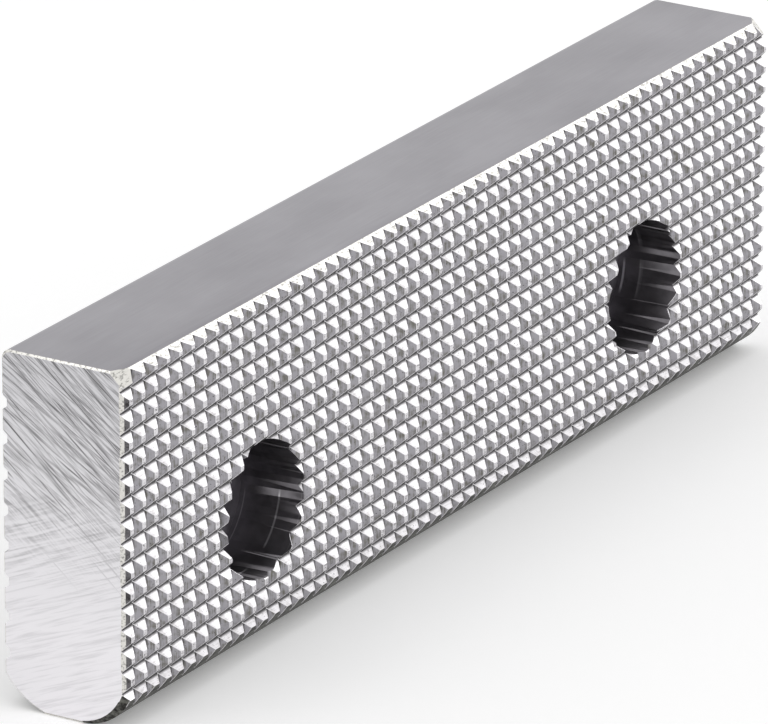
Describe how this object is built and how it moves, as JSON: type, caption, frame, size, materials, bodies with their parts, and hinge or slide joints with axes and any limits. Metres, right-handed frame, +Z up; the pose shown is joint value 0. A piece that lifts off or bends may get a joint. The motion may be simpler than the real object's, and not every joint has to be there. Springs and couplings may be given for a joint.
{
  "type": "serrated vice jaw plate",
  "caption": "Hardened steel jaw plate with a pyramid-serrated gripping face, a grooved back and counterbored holes for cap screws.",
  "frame": {"origin": "middle of the footprint, on the long narrow edge that the plate stands on", "axes": "+X along the jaw, -Y out of the serrated gripping face, +Y out of the grooved back, +Z up to the ground top edge"},
  "size_m": [0.136, 0.0154, 0.04],
  "materials": {
    "steel": "ground and hardened steel, bright teeth, blackened screw holes"
  },
  "bodies": {
    "root": {"jaw_plate": "steel"}
  },
  "joints": []
}
